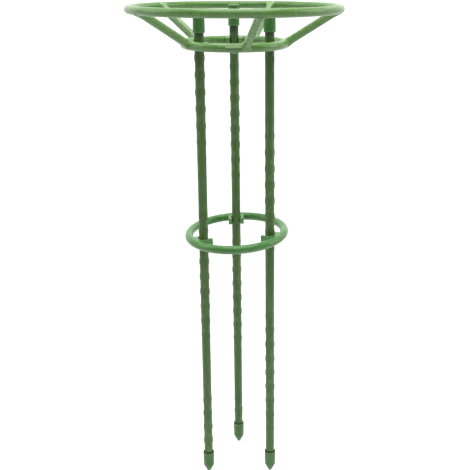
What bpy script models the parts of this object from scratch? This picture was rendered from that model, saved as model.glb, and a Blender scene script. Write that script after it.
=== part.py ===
"""Plant support cage: three nubbed, plastic-coated steel stakes in a funnel-shaped top basket and a mid ring.

Metres, +Z up. The origin is on the ground under the middle of the cage, at the height of the stakes' tips.
The front of the cage, between the two front stakes, faces -Y.
"""

import math

import bmesh
import bpy
from mathutils import Matrix, Vector

# Fits
PIECE_GAP = 0.0003  # clearance between pieces that are pushed or bonded together
NUB_CLEARANCE = 0.00045  # clearance between the nubs' tops and a clip, so that a stake can slide

# Stakes: a steel tube inside a nubbed plastic coating
STAKE_LENGTH = 0.600  # point tip to cap top
COATING_DIAMETER = 0.0111  # between the nubs
COATING_WALL = 0.0006
TUBE_WALL = 0.0006
NUB_HEIGHT = 0.0006
NUB_PITCH = 0.020  # along one row; neighbouring rows are half a pitch apart
NUB_TOP_LENGTH = 0.0045
NUB_EDGE = 0.00065  # how far a nub's sloping sides reach in from the edges of its cell
NUB_ROWS = 4
COLUMNS_PER_ROW = 3
ROW_TWIST = math.radians(90) / 0.240  # the rows wind slowly round the stake, in radians per metre
NUB_MARGIN = 0.002  # plain length left between the nubs and the cap's and the point's mouths

# Top caps
CAP_LENGTH = 0.0255
CAP_BORE_DEPTH = 0.0225
CAP_MOUTH_WALL = 0.00115
CAP_TOP_DRAFT = 0.0003  # how much the cap's radius shrinks from mouth to crown
CAP_LIP_HEIGHT = 0.0012
CAP_LIP_DEPTH = 0.00015
CAP_CROWN_RADIUS = 0.0020

# Ground points
POINT_LENGTH = 0.0285
POINT_BORE_DEPTH = 0.0150
POINT_WALL = 0.0010  # at the shoulder
POINT_MOUTH_DRAFT = 0.0004  # how much the socket's outside widens from shoulder to mouth
POINT_MOUTH_CHAMFER = 0.0003
POINT_NOSE_LENGTH = 0.0095
POINT_TIP_RADIUS = 0.0012
POINT_NOSE_POWER = 0.85  # 1 is a straight cone, less is a fuller nose

# Rings: the basket's base ring and the mid ring, with a clip for each stake
BASE_RING_RADIUS = 0.0592  # to the middle of the ring's bar
MID_RING_RADIUS = 0.0597
RING_BAR = 0.0104
SEAT_WALL = 0.0004  # between the bottom of a clip's slot and the base ring's inner side
CLIP_HEIGHT = 0.0080
CLIP_CHAMFER = 0.0005
CLIP_REACH = 0.00205  # how far the clips' ears reach in past the stakes' coatings
CLIP_MOUTH = 0.0106  # the ears close in to this, so that a stake snaps in
CLIP_LEAD = 0.0010  # the slope inside each ear's tip that guides a stake to the mouth
BASE_CLIP_EAR = 0.00435  # how far the clips reach sideways past their slots
MID_CLIP_EAR = 0.00335

# Basket
RIM_RADIUS = 0.1232  # to the middle of the rim's bar
RIM_BAR = 0.0101
BASKET_DEPTH = 0.0405  # base ring to rim
ARM_WIDTH = 0.0077  # at the parting plane, half way through the arm
ARM_FACE_WIDTH = 0.0065
ARM_DEPTH = 0.0092
ARM_CHAMFER = 0.0007
ARM_FLARE = 0.0020  # how much wider and deeper the arm is at its two ends
ARM_FLARE_LENGTH = 0.012
BASKET_PITCH = math.radians(0.45)  # the basket sits a little askew on the stakes, higher at the back
BASKET_ROLL = math.radians(0.65)  # and lower on the right

# Heights, worked down from the top of the stakes
CAP_STANDOFF = 0.0105  # from the base ring's clips up to the caps
MID_RING_DROP = 0.234  # from the base ring down to the mid ring
MID_RING_PITCH = math.radians(2.9)  # the mid ring sits more askew, higher at the back
MID_RING_ROLL = math.radians(-2.6)  # and higher on the right

# Directions round the cage, counter-clockwise from +X
STAKES = {
    # name: (direction, how far its cap stands off home, first nub's height, height where its rows face +X)
    "back": (math.radians(90), 0.0040, 0.0040, 0.467),
    "left": (math.radians(210), 0.0, 0.0012, 0.509),
    "right": (math.radians(330), 0.0, 0.0080, 0.396),
}
ARMS = ("right", "back_right", "back_left", "left", "front")
FIRST_ARM = math.radians(-5.6)

# Facets
RING_STEPS = 48
RIM_STEPS = 72
BAR_STEPS = 12
TURNED_STEPS = 20
CORNER_STEPS = 3
SLOT_STEPS = 11
NOSE_STEPS = 4

# What follows from the values above
COATING_RADIUS = COATING_DIAMETER / 2
COATING_BORE = COATING_RADIUS - COATING_WALL
TUBE_RADIUS = COATING_BORE - PIECE_GAP
SOCKET_RADIUS = COATING_RADIUS + PIECE_GAP
SLOT_RADIUS = COATING_RADIUS + NUB_HEIGHT + NUB_CLEARANCE
STAKE_CIRCLE = BASE_RING_RADIUS - RING_BAR / 2 - SEAT_WALL - SLOT_RADIUS
STAKE_BOTTOM = POINT_LENGTH - POINT_BORE_DEPTH + PIECE_GAP
STAKE_TOP = STAKE_LENGTH - CAP_LENGTH + CAP_BORE_DEPTH - PIECE_GAP
CAP_MOUTH = STAKE_LENGTH - CAP_LENGTH
BASE_RING_HEIGHT = CAP_MOUTH - CAP_STANDOFF - CLIP_HEIGHT / 2
MID_RING_HEIGHT = BASE_RING_HEIGHT - MID_RING_DROP


def clear_scene():
    for obj in list(bpy.data.objects):
        bpy.data.objects.remove(obj, do_unlink=True)


def make_material(name, colour, roughness, metallic=0.0):
    material = bpy.data.materials.new(name)
    material.use_nodes = True
    shader = material.node_tree.nodes["Principled BSDF"]
    shader.inputs["Base Color"].default_value = (*colour, 1.0)
    shader.inputs["Roughness"].default_value = roughness
    shader.inputs["Metallic"].default_value = metallic
    return material


def add_object(name, bm, material, sharp_angle=math.radians(35)):
    """Makes a named object from a bmesh, with outward normals and smooth round faces."""
    bmesh.ops.recalc_face_normals(bm, faces=bm.faces)
    mesh = bpy.data.meshes.new(name)
    bm.to_mesh(mesh)
    bm.free()
    mesh.shade_smooth()
    mesh.set_sharp_from_angle(angle=sharp_angle)
    mesh.materials.append(material)
    obj = bpy.data.objects.new(name, mesh)
    bpy.context.collection.objects.link(obj)
    return obj


def make_guide(obj):
    """Turns an object into a cutter or a tool that isn't part of the cage."""
    obj.hide_render = True
    obj.display_type = "WIRE"
    return obj


def add_boolean(obj, operation, tool):
    modifier = obj.modifiers.new(f"{operation.lower()} {tool.name}", "BOOLEAN")
    modifier.operation = operation
    modifier.solver = "EXACT"
    modifier.object = tool


def turn(profile, steps, closed=True):
    """Spins a profile of (radius, height) points about Z. An open profile starts and ends on the axis."""
    bm = bmesh.new()
    points = [bm.verts.new((radius, 0, height)) for radius, height in profile]
    ends = points + points[:1] if closed else points
    edges = [bm.edges.new(pair) for pair in zip(ends, ends[1:])]
    bmesh.ops.spin(
        bm, geom=points + edges, cent=(0, 0, 0), axis=(0, 0, 1), angle=math.tau, steps=steps, use_merge=True
    )
    bmesh.ops.remove_doubles(bm, verts=bm.verts, dist=PIECE_GAP / 100)
    return bm


def ring_bar(radius, bar_radius, steps):
    """A round bar bent into a full circle about Z."""
    turns = (math.tau * i / BAR_STEPS for i in range(BAR_STEPS))
    profile = [(radius + bar_radius * math.cos(a), bar_radius * math.sin(a)) for a in turns]
    return turn(profile, steps)


def arc(centre, radius, start, end, steps):
    """Points on a circular arc in a plane, with both of its ends."""
    angles = [start + (end - start) * i / steps for i in range(steps + 1)]
    return [(centre[0] + radius * math.cos(a), centre[1] + radius * math.sin(a)) for a in angles]


def steel_tube():
    inner = TUBE_RADIUS - TUBE_WALL
    return turn(
        [
            (inner, STAKE_BOTTOM),
            (TUBE_RADIUS, STAKE_BOTTOM),
            (TUBE_RADIUS, STAKE_TOP),
            (inner, STAKE_TOP),
        ],
        TURNED_STEPS,
    )


def nub_levels(first_nub):
    """Heights of the joints between nub cells, half a pitch apart, clear of the point and the cap."""
    cell = NUB_PITCH / 2
    lowest = POINT_LENGTH + NUB_MARGIN
    highest = CAP_MOUTH - NUB_MARGIN
    first = math.ceil((lowest - first_nub) / cell)
    last = math.floor((highest - first_nub) / cell)
    return [first_nub + cell * i for i in range(first, last + 1)], first


def nubbed_coating(first_nub, facing_height):
    """The coating: a tube whose columns of faces wind slowly round it, with nubs raised on some."""
    bm = bmesh.new()
    columns = NUB_ROWS * COLUMNS_PER_ROW
    levels, first_cell = nub_levels(first_nub)
    heights = [STAKE_BOTTOM, *levels, STAKE_TOP]

    def level(radius, height, facing):
        turned = (facing - facing_height) * ROW_TWIST
        angles = [turned + math.tau * (i - 0.5) / columns for i in range(columns)]
        return [bm.verts.new((radius * math.cos(a), radius * math.sin(a), height)) for a in angles]

    rings = [level(COATING_RADIUS, height, height) for height in heights]
    nub_faces = []
    for row, (below, above) in enumerate(zip(rings, rings[1:])):
        for i in range(columns):
            j = (i + 1) % columns
            face = bm.faces.new((below[i], below[j], above[j], above[i]))
            nub_row, offset = divmod(i, COLUMNS_PER_ROW)
            in_phase = (row - 1 + first_cell + nub_row) % 2 == 0
            if offset == 0 and in_phase and 0 < row < len(levels):
                nub_faces.append(face)

    # The bore runs straight, so its top meets the outside some whole columns further round.
    bore_low = level(COATING_BORE, STAKE_BOTTOM, STAKE_BOTTOM)
    bore_high = level(COATING_BORE, STAKE_TOP, STAKE_BOTTOM)
    ahead = round((STAKE_TOP - STAKE_BOTTOM) * ROW_TWIST * columns / math.tau)
    for i in range(columns):
        j = (i + 1) % columns
        bm.faces.new((bore_low[j], bore_low[i], bore_high[i], bore_high[j]))
        bm.faces.new((rings[0][j], rings[0][i], bore_low[i], bore_low[j]))
        near, far = bore_high[(i + ahead) % columns], bore_high[(j + ahead) % columns]
        bm.faces.new((rings[-1][i], rings[-1][j], far, near))
    raise_nubs(bm, nub_faces)
    return bm


def raise_nubs(bm, faces):
    """Insets each face and lifts it into a nub whose ends slope more gently than its sides."""
    bmesh.ops.recalc_face_normals(bm, faces=bm.faces)
    bmesh.ops.inset_individual(bm, faces=faces, thickness=NUB_EDGE, depth=NUB_HEIGHT, use_even_offset=True)
    for face in faces:
        middle = face.calc_center_median()
        half = max(abs(vert.co.z - middle.z) for vert in face.verts)
        for vert in face.verts:
            vert.co.z = middle.z + (vert.co.z - middle.z) * NUB_TOP_LENGTH / 2 / half


def top_cap():
    """A push-on cap with a lip at its mouth, slight draft and a rounded crown with a flat top."""
    mouth = SOCKET_RADIUS + CAP_MOUTH_WALL
    crown = mouth - CAP_TOP_DRAFT
    corner = (crown - CAP_CROWN_RADIUS, CAP_LENGTH - CAP_CROWN_RADIUS)
    return turn(
        [
            (0, CAP_BORE_DEPTH),
            (SOCKET_RADIUS, CAP_BORE_DEPTH),
            (SOCKET_RADIUS, 0),
            (mouth + CAP_LIP_DEPTH, 0),
            (mouth + CAP_LIP_DEPTH, CAP_LIP_HEIGHT),
            (mouth, CAP_LIP_HEIGHT + CAP_LIP_DEPTH),
            *arc(corner, CAP_CROWN_RADIUS, 0, math.pi / 2, CORNER_STEPS),
            (0, CAP_LENGTH),
        ],
        TURNED_STEPS,
        closed=False,
    )


def ground_point():
    """A socketed point that widens a little to its mouth, with a full, blunt-tipped nose."""
    body = SOCKET_RADIUS + POINT_WALL
    mouth = body + POINT_MOUTH_DRAFT
    floor = POINT_LENGTH - POINT_BORE_DEPTH
    shares = [i / NOSE_STEPS for i in range(NOSE_STEPS + 1)]
    nose = [
        (POINT_TIP_RADIUS + (body - POINT_TIP_RADIUS) * share**POINT_NOSE_POWER, POINT_NOSE_LENGTH * share)
        for share in shares
    ]
    return turn(
        [
            (0, 0),
            *nose,
            (mouth, POINT_LENGTH - POINT_MOUTH_CHAMFER),
            (mouth - POINT_MOUTH_CHAMFER, POINT_LENGTH),
            (SOCKET_RADIUS, POINT_LENGTH),
            (SOCKET_RADIUS, floor),
            (0, floor),
        ],
        TURNED_STEPS,
        closed=False,
    )


def clip_block(root, ear):
    """A C-shaped snap clip that points along -X from the ring's bar and opens towards the cage's axis."""
    tip = STAKE_CIRCLE - COATING_RADIUS - CLIP_REACH
    half = SLOT_RADIUS + ear
    mouth = CLIP_MOUTH / 2
    reach = math.pi - math.asin(mouth / SLOT_RADIUS)
    slot = arc((STAKE_CIRCLE, 0), SLOT_RADIUS, reach, -reach, SLOT_STEPS)
    outline = [
        (root, -half),
        (root, half),
        (tip + CLIP_CHAMFER, half),
        (tip, half - CLIP_CHAMFER),
        (tip, mouth + CLIP_LEAD),
        (tip + CLIP_LEAD, mouth),
        *slot,
        (tip + CLIP_LEAD, -mouth),
        (tip, -mouth - CLIP_LEAD),
        (tip, -half + CLIP_CHAMFER),
        (tip + CLIP_CHAMFER, -half),
    ]
    bm = bmesh.new()
    low = bm.faces.new([bm.verts.new((x, y, -CLIP_HEIGHT / 2)) for x, y in outline])
    raised = bmesh.ops.extrude_face_region(bm, geom=[low])["geom"]
    top = [item for item in raised if isinstance(item, bmesh.types.BMVert)]
    bmesh.ops.translate(bm, verts=top, vec=(0, 0, CLIP_HEIGHT))
    bmesh.ops.recalc_face_normals(bm, faces=bm.faces)
    return bm


def clipped_ring(name, radius, ear, material):
    """A ring with a clip for each stake joined to it. The clips' tools follow the ring wherever it goes."""
    ring = add_object(name, ring_bar(radius, RING_BAR / 2, RING_STEPS), material)
    for stake, (direction, *_) in STAKES.items():
        clip = make_guide(add_object(f"{name} clip {stake}", clip_block(radius, ear), material))
        clip.parent = ring
        clip.rotation_euler.z = direction
        add_boolean(ring, "UNION", clip)
    return ring


def arm_section(flare):
    """The arm's outline across its length: widest at the parting plane, with chamfered corners."""
    widest = (ARM_WIDTH + flare) / 2
    face = (ARM_FACE_WIDTH + flare) / 2
    deep = (ARM_DEPTH + flare) / 2
    quarter = [(widest, 0), (face, deep - ARM_CHAMFER), (face - ARM_CHAMFER, deep)]
    upper = quarter + [(-side, up) for side, up in reversed(quarter)]
    return upper + [(side, -up) for side, up in reversed(upper[1:-1])]


def basket_arm():
    """An arm along +X that slopes up from the middle of the base ring's bar to the middle of the rim's."""
    low = Vector((BASE_RING_RADIUS, 0, 0))
    high = Vector((RIM_RADIUS, 0, BASKET_DEPTH))
    along = (high - low).normalized()
    length = (high - low).length
    across = Vector((0, 1, 0))
    out = along.cross(across)
    stations = [
        (0, ARM_FLARE),
        (ARM_FLARE_LENGTH / 2, ARM_FLARE / 2),
        (ARM_FLARE_LENGTH, 0),
        (length - ARM_FLARE_LENGTH, 0),
        (length - ARM_FLARE_LENGTH / 2, ARM_FLARE / 2),
        (length, ARM_FLARE),
    ]
    bm = bmesh.new()
    loops = []
    for reach, flare in stations:
        centre = low + along * reach
        section = arm_section(flare)
        loops.append([bm.verts.new(centre + across * side + out * up) for side, up in section])
    for below, above in zip(loops, loops[1:]):
        for i in range(len(below)):
            j = (i + 1) % len(below)
            bm.faces.new((below[i], below[j], above[j], above[i]))
    bm.faces.new(loops[0])
    bm.faces.new(loops[-1])
    return bm


def build_basket(material):
    """The rim, the base ring and the arms that join them, each arm's ends shaped to the bars they meet.

    They hang from an empty in the middle of the base ring, which holds the basket's slight tilt.
    """
    middle = bpy.data.objects.new("basket_middle", None)
    bpy.context.collection.objects.link(middle)
    middle.location.z = BASE_RING_HEIGHT
    middle.rotation_euler = (BASKET_PITCH, BASKET_ROLL, 0)

    rim = add_object("basket_rim", ring_bar(RIM_RADIUS, RIM_BAR / 2, RIM_STEPS), material)
    base = clipped_ring("basket_base_ring", BASE_RING_RADIUS, BASE_CLIP_EAR, material)
    rim_space = ring_bar(RIM_RADIUS, RIM_BAR / 2 + PIECE_GAP, RIM_STEPS)
    rim_cutter = make_guide(add_object("rim cutter", rim_space, material))
    ring_space = ring_bar(BASE_RING_RADIUS, RING_BAR / 2 + PIECE_GAP, RING_STEPS)
    ring_cutter = make_guide(add_object("base ring cutter", ring_space, material))
    rim.location.z = BASKET_DEPTH
    rim_cutter.location.z = BASKET_DEPTH
    arms = []
    for i, side in enumerate(ARMS):
        arm = add_object(f"basket_arm_{side}", basket_arm(), material)
        arm.rotation_euler.z = FIRST_ARM + math.tau * i / len(ARMS)
        add_boolean(arm, "DIFFERENCE", rim_cutter)
        add_boolean(arm, "DIFFERENCE", ring_cutter)
        arms.append(arm)
    for obj in (rim, base, rim_cutter, ring_cutter, *arms):
        obj.parent = middle


def build_mid_ring(material):
    ring = clipped_ring("mid_ring", MID_RING_RADIUS, MID_CLIP_EAR, material)
    ring.location.z = MID_RING_HEIGHT
    ring.rotation_euler = (MID_RING_PITCH, MID_RING_ROLL, 0)


def build_stakes(steel, coating, cap_plastic, point_plastic):
    """Each stake hangs from an empty on its own axis, which is also the axis that it slides along."""
    for name, (direction, cap_lift, first_nub, facing_height) in STAKES.items():
        axis = bpy.data.objects.new(f"stake_{name}_axis", None)
        bpy.context.collection.objects.link(axis)
        axis.location = Matrix.Rotation(direction, 3, "Z") @ Vector((STAKE_CIRCLE, 0, 0))
        pieces = [
            add_object(f"stake_{name}_steel_tube", steel_tube(), steel),
            add_object(f"stake_{name}_coating", nubbed_coating(first_nub, facing_height), coating),
            add_object(f"stake_{name}_cap", top_cap(), cap_plastic),
            add_object(f"stake_{name}_point", ground_point(), point_plastic),
        ]
        pieces[2].location.z = CAP_MOUTH + cap_lift
        for piece in pieces:
            piece.parent = axis


def build():
    clear_scene()
    basket_plastic = make_material("basket plastic", (0.10, 0.26, 0.055), 0.36)
    ring_plastic = make_material("mid ring plastic", (0.07, 0.225, 0.045), 0.34)
    coating = make_material("stake coating", (0.054, 0.128, 0.03), 0.45)
    cap_plastic = make_material("cap plastic", (0.035, 0.14, 0.03), 0.46)
    point_plastic = make_material("point plastic", (0.08, 0.205, 0.055), 0.44)
    steel = make_material("galvanised steel", (0.55, 0.56, 0.57), 0.35, metallic=1.0)
    build_basket(basket_plastic)
    build_mid_ring(ring_plastic)
    build_stakes(steel, coating, cap_plastic, point_plastic)


build()
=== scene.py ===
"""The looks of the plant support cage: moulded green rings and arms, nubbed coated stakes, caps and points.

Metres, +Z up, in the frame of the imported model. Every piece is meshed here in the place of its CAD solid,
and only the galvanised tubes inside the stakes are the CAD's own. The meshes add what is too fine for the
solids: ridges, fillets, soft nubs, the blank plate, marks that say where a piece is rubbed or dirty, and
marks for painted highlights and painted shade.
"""

import math

import bmesh
import bpy
import numpy as np
from mathutils import Matrix, Vector


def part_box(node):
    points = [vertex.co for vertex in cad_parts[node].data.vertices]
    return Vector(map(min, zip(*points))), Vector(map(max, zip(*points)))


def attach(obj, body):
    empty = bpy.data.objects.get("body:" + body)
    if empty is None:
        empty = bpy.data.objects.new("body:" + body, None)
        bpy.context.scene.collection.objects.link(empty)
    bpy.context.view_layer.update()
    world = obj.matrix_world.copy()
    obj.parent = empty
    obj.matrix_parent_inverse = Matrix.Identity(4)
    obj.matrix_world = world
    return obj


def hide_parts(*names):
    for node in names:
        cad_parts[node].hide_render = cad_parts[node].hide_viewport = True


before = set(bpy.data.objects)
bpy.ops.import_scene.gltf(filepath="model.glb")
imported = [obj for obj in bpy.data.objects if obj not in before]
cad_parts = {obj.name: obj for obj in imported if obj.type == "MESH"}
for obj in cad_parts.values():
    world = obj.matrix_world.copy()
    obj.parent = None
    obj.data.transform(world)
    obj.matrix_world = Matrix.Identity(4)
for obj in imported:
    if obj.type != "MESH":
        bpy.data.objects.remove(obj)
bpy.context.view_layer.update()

# Camera: fitted to the rings, caps and tips of the photograph, which is 470 pixels wide and high
PICTURE = 470
FOCAL_PIXELS = 793.85
PRINCIPAL_X = 232.2  # where the lens axis meets the picture
PRINCIPAL_Y = 195.6
CAMERA_PLACE = Vector((-0.0049, -0.9532, 0.6327))
CAMERA_PITCH = math.radians(15.2)
CAMERA_ROLL = math.radians(-0.78)
SENSOR = 36.0
CLIP_NEAR = 0.01

# Stakes
COATING_RADIUS = 0.00555
COATING_WALL = 0.0006
NUB_HEIGHT = 0.0006
NUB_CELL = 0.010  # half of the nubs' pitch along a row
NUB_TOP_LENGTH = 0.0045
NUB_EDGE = 0.00065  # how wide a nub's sloping sides are
NUB_HALF_SPREAD = math.radians(15)  # half of a nub's angle round the stake
NUB_ROWS = 4
NUB_MARGIN = 0.002  # least plain length between the nubs and the mouths of the cap and the point
NUB_OFFSETS = (-15, -12, -9.5, -7, -3.5, 0, 3.5, 7, 9.5, 12, 15, 30, 45, 60)  # degrees from a row's middle
ROW_TWIST = math.radians(90) / 0.240  # the rows wind slowly round the stake, in radians per metre
NECK_LENGTH = 0.100  # of the painted shade on the top of the coating, which fades out downwards from the cap
NECK_FADE = 0.090
NECK_DARKNESS = 0.32
COLLAR_LENGTH = 0.006  # of the darkest painted shade on the neck, right under the cap
COLLAR_FADE = 0.003
COLLAR_DARKNESS = 0.75
MOUTH_SHADOW_WIDTH = 0.0022  # of the painted shadow on the coating at the mouths of the cap and the point
MOUTH_SHADOW_DARKNESS = 1.0
COATING_STEP = 0.001  # between rings of points along a stake
BORE_STEPS = 24
STAKES = {
    # name: (direction, height of its first nub, height where its rows face +X)
    "back": (math.radians(90), 0.0040, 0.467),
    "left": (math.radians(210), 0.0012, 0.509),
    "right": (math.radians(330), 0.0080, 0.396),
}

# Caps and points
SOCKET_RADIUS = 0.00585
CAP_RADIUS = 0.0070
CAP_CROWN_RADIUS = 0.0067
CAP_CROWN_EDGE = 0.0019
CAP_LENGTH = 0.0255
CAP_BORE_DEPTH = 0.0225
CAP_LIP_HEIGHT = 0.0012
CAP_LIP_DEPTH = 0.00015
CAP_LIP_SHEEN = 0.3  # painted highlight on the lip, against 1 on the crown
CAP_LIP_EDGE = 0.0004
CAP_LIP_STEP_EDGE = 0.0001  # where the lip steps back to the cap's side
CAP_MOUTH_EDGE = 0.0003
CAP_FLOOR_EDGE = 0.0006  # at the end of its bore
POINT_LENGTH = 0.0285
POINT_BORE_FLOOR = 0.0135
POINT_SHOULDER_RADIUS = 0.00685
POINT_MOUTH_RADIUS = 0.00725
POINT_LEAD_RADIUS = 0.0067  # its mouth opens this wide, to guide the stake in
POINT_LEAD_DEPTH = 0.0035
POINT_LIP_HEIGHT = 0.0007  # of its upper edge, which carries a painted highlight
POINT_NOSE_LENGTH = 0.0095
POINT_TIP_RADIUS = 0.0012
POINT_NOSE_POWER = 0.85  # 1 is a straight cone, less is a fuller nose
POINT_TIP_EDGE = 0.0004
POINT_SHOULDER_EDGE = 0.0005
POINT_MOUTH_EDGE = 0.0002
POINT_LEAD_EDGE = 0.0001
POINT_BORE_EDGE = 0.0003  # where the lead ends and the bore begins
POINT_FLOOR_EDGE = 0.0005
NOSE_STEPS = 13
TURNED_STEPS = 96

# Rings
RIM_RADIUS = 0.1232  # to the middle of the bar
RIM_BAR = 0.0101
BASE_RING_RADIUS = 0.0592
MID_RING_RADIUS = 0.0597
RING_BAR = 0.0104
BASKET_DEPTH = 0.0405  # base ring to rim
BASKET_PITCH = math.radians(0.45)  # the basket sits a little askew on the stakes
BASKET_ROLL = math.radians(0.65)
MID_RING_PITCH = math.radians(2.9)  # and the mid ring more so
MID_RING_ROLL = math.radians(-2.6)
FLASH_HEIGHT = 0.00010  # the fine ridge that the mould's parting line leaves round each ring
FLASH_WIDTH = 0.00028
SEAM_DARKNESS = 0.42  # of the dirt and painted shade along it

# Clips on the two lower rings
SLOT_RADIUS = 0.0066
CLIP_HEIGHT = 0.0080
CLIP_REACH = 0.00205  # how far the ears reach in past the coating
CLIP_MOUTH = 0.0106  # narrower than the stake, which snaps in
CLIP_LEAD = 0.0010  # the slope at each ear's tip that guides the stake in
BASE_CLIP_EAR = 0.00435  # how far the clips reach sideways past their slots
MID_CLIP_EAR = 0.00335
CLIP_EDGE = 0.0006  # radius of the moulded edges
SLOT_EDGE = 0.0006
ROOT_FILLET = 0.0008  # where a clip grows out of its ring
BASE_CLIP_WEAR_AND_SHEEN = 0.5  # how pale the base ring's slot edges are, rubbed and with a painted highlight, against 1 on the mid ring's
CREASE_WIDTH = 0.0013  # of the painted shade at the sides of the base ring's clips
CREASE_DARKNESS = 0.8

# The blank plate on the front of the base ring, and the gate's tab under it
PLATE_DIRECTION = math.radians(-89)
PLATE_LENGTH = 0.0205
PLATE_HEIGHT = 0.0054
PLATE_FACE = 0.0050  # from the middle of the bar to the plate's flat face
PLATE_TILT = math.radians(31)  # its face looks this far up from level
PLATE_EDGE = 0.0003
TAB_WIDTH = 0.0072
TAB_THICKNESS = 0.0034
TAB_DROP = 0.0012  # how far it hangs below the bar
TAB_EDGE = 0.0005
PLATE_SHEEN = 0.45  # painted highlight on the plate's face, where it looks up to the light, and how rubbed the tab is
TAB_WEAR = 0.9
PLATE_LINE_DARKNESS = 0.8  # of the painted shadow under the plate

# Arms
ARMS = ("right", "back_right", "back_left", "left", "front")
FIRST_ARM = math.radians(-5.6)  # direction of the right arm, which the others follow at equal turns
ARM_WIDTH = 0.0077  # at the parting plane, half way through the arm
ARM_FACE_WIDTH = 0.0065
ARM_DEPTH = 0.0092
ARM_EDGE = 0.0017
ARM_RIDGE_HEIGHT = 0.00022  # the parting line's ridge along both sides of an arm
ARM_RIDGE_HALF = 0.0004  # half of its width
ARM_RIDGE_EDGE = 0.00015
ARM_TOP_SHEEN = 0.9  # painted highlight on the arms' upper edges, and on their lower ones
ARM_UNDER_SHEEN = 0.35
ARM_FLARE = 0.0020  # how much wider and deeper the arm is at its two ends
ARM_FLARE_LENGTH = 0.012
ARM_FILLET = 0.0016  # between the arm's sides and the bars
FILLET_ROUNDS = 4
ARM_END_EDGE = 0.0006
ARM_END_STEPS = 28
ARM_MIDDLE_STEPS = 22

# Mesh cells of the clipped rings
CELL = 0.00045
FINE_CELL = 0.00022  # across the parting line
FINE_CELLS = 3  # on each side of it
CLIP_SPREAD = math.radians(18.5)  # half of the turn that has fine cells at a clip, and at the plate
PLATE_SPREAD = math.radians(11.5)
FINE_TURN = math.radians(0.5)
BAR_TURN = math.radians(2.5)
SURFACE_ROUNDS = 4
SLOPE_STEP = CELL / 40  # over which the field's slope is measured
LEAST_STEEPNESS = 0.25  # keeps the steps short where a rounded corner flattens the field

# Mesh of the rim
RIM_TURNS = 288
BAR_POINTS = 64
SEAM_CROWDING = 0.35  # how much closer its points lie at the parting line

# Scene-linear colours
BASKET_GREEN = (0.102, 0.250, 0.047)
RING_GREEN = (0.062, 0.222, 0.040)
COATING_GREEN = (0.053, 0.130, 0.021)
CAP_GREEN = (0.030, 0.140, 0.018)
POINT_GREEN = (0.062, 0.160, 0.046)
STEEL_GREY = (0.52, 0.53, 0.54)
STEEL_SHADE = 0.82  # of the darker spangles
CHALK = (0.75, 0.80, 0.70)  # what streaks and specks lean towards, and by how much
CHALK_SHARE = 0.25
WORN_AND_LIT_PALE = (0.60, 0.74, 0.46)  # what rubbed places and painted highlights lean towards, and by how much
WORN_AND_LIT_SHARE = 0.6
DARK_MARK_SHADE = 0.15  # what the dark mark darkens to, as a share of the plastic's own colour: painted shade, and dirt along the parting lines
DARK_MARK_SHARE = 0.9

# Patterns in the plastics and the steel: their scales, what they change, and the depths of their bumps
STREAKS_ROUND_RINGS = (0.05, 0.05, 1.0)
STREAKS_DOWN_STAKES = (1.0, 1.0, 0.03)
LINES_DOWN_TUBES = (1.0, 1.0, 0.02)
CLOUD_SCALE = 60.0
WAVE_SCALE = 130.0
SMEAR_SCALE = 160.0
PATCH_SCALE = 260.0
SPANGLE_SCALE = 380.0
STREAK_SCALE = 900.0
SPECK_SCALE = 1400.0
LINE_SCALE = 2400.0
GRAIN_SCALE = 2600.0
NOISE_MIDDLE = (0.3, 0.7)  # most of a noise lies between these
PATCH_EDGES = (0.35, 0.65)
STREAK_PEAKS = (0.50, 0.80)
SPECK_PEAKS = (0.58, 0.75)
SPANGLE_REACH = 0.7  # from a spangle's middle to its edge, in cells
STEEL_ROUGHNESS = (0.28, 0.42)  # in the middle of a spangle, and at its edge
CLOUD_CONTRAST = 0.09
STREAK_SHARE = 0.35
SPECK_SHARE = 0.25
LEAST_WEAR_AND_SHEEN = 0.4  # of the pale mark's weakest patches, on rubbed places and painted highlights alike, against 1 for the strongest
SMEAR_POLISH = 0.05  # how much less rough a smear can be, and how much rougher
SMEAR_ROUGHNESS = 0.06
WAVE_DEPTH = 0.00008
STREAK_DEPTH = 0.00003
GRAIN_DEPTH = 0.000025
LINE_DEPTH = 0.00002
BUMP_STRENGTH = 0.5

PLASTICS = {
    # name: (colour, roughness, which way it is streaked, how pale its rubbed places and painted highlights
    # are, gloss)
    "basket plastic": (BASKET_GREEN, 0.27, STREAKS_ROUND_RINGS, 0.6, 0.5),
    "mid ring plastic": (RING_GREEN, 0.27, STREAKS_ROUND_RINGS, 0.7, 0.5),
    "stake coating": (COATING_GREEN, 0.44, STREAKS_DOWN_STAKES, 0.12, 0.42),
    "cap plastic": (CAP_GREEN, 0.46, STREAKS_DOWN_STAKES, 0.5, 0.38),
    "point plastic": (POINT_GREEN, 0.44, STREAKS_DOWN_STAKES, 0.5, 0.35),
}

# Studio
FLOOR_DROP = 0.0002
FLOOR_SIZE = 40.0
FLOOR_NEAR = 0.25  # the floor changes from this distance
FLOOR_LIFT_FAR = 1.2
FLOOR_DIM_FAR = 0.8
FLOOR_LIFT = 0.45  # how much the seen floor is lifted near the cage, against 1 far from it
FLOOR_PALE = (0.85, 0.85, 0.85)
FLOOR_DIM = (0.30, 0.30, 0.30)
WORLD_BEHIND = 1.5
WORLD_IN_FRONT = 0.2
BEHIND_RANGE = (-0.2, 0.6)  # of a direction's Y, over which the surroundings brighten
IN_FRONT_RANGE = (-0.8, 0.2)
LIGHT_TARGET = (0, 0, 0.35)
SOFTBOXES = {
    # name: (place, width, height, power)
    "overhead": ((0, 0, 1.85), 1.0, 1.0, 15.0),
    "front": ((0, -0.9, 1.6), 1.4, 0.8, 8.5),
    "left": ((-1.35, -0.1, 1.25), 0.8, 1.4, 7.0),
    "right": ((1.45, -0.1, 0.95), 0.8, 1.5, 9.0),
}
MERGE_DISTANCE = 0.000002

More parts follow.
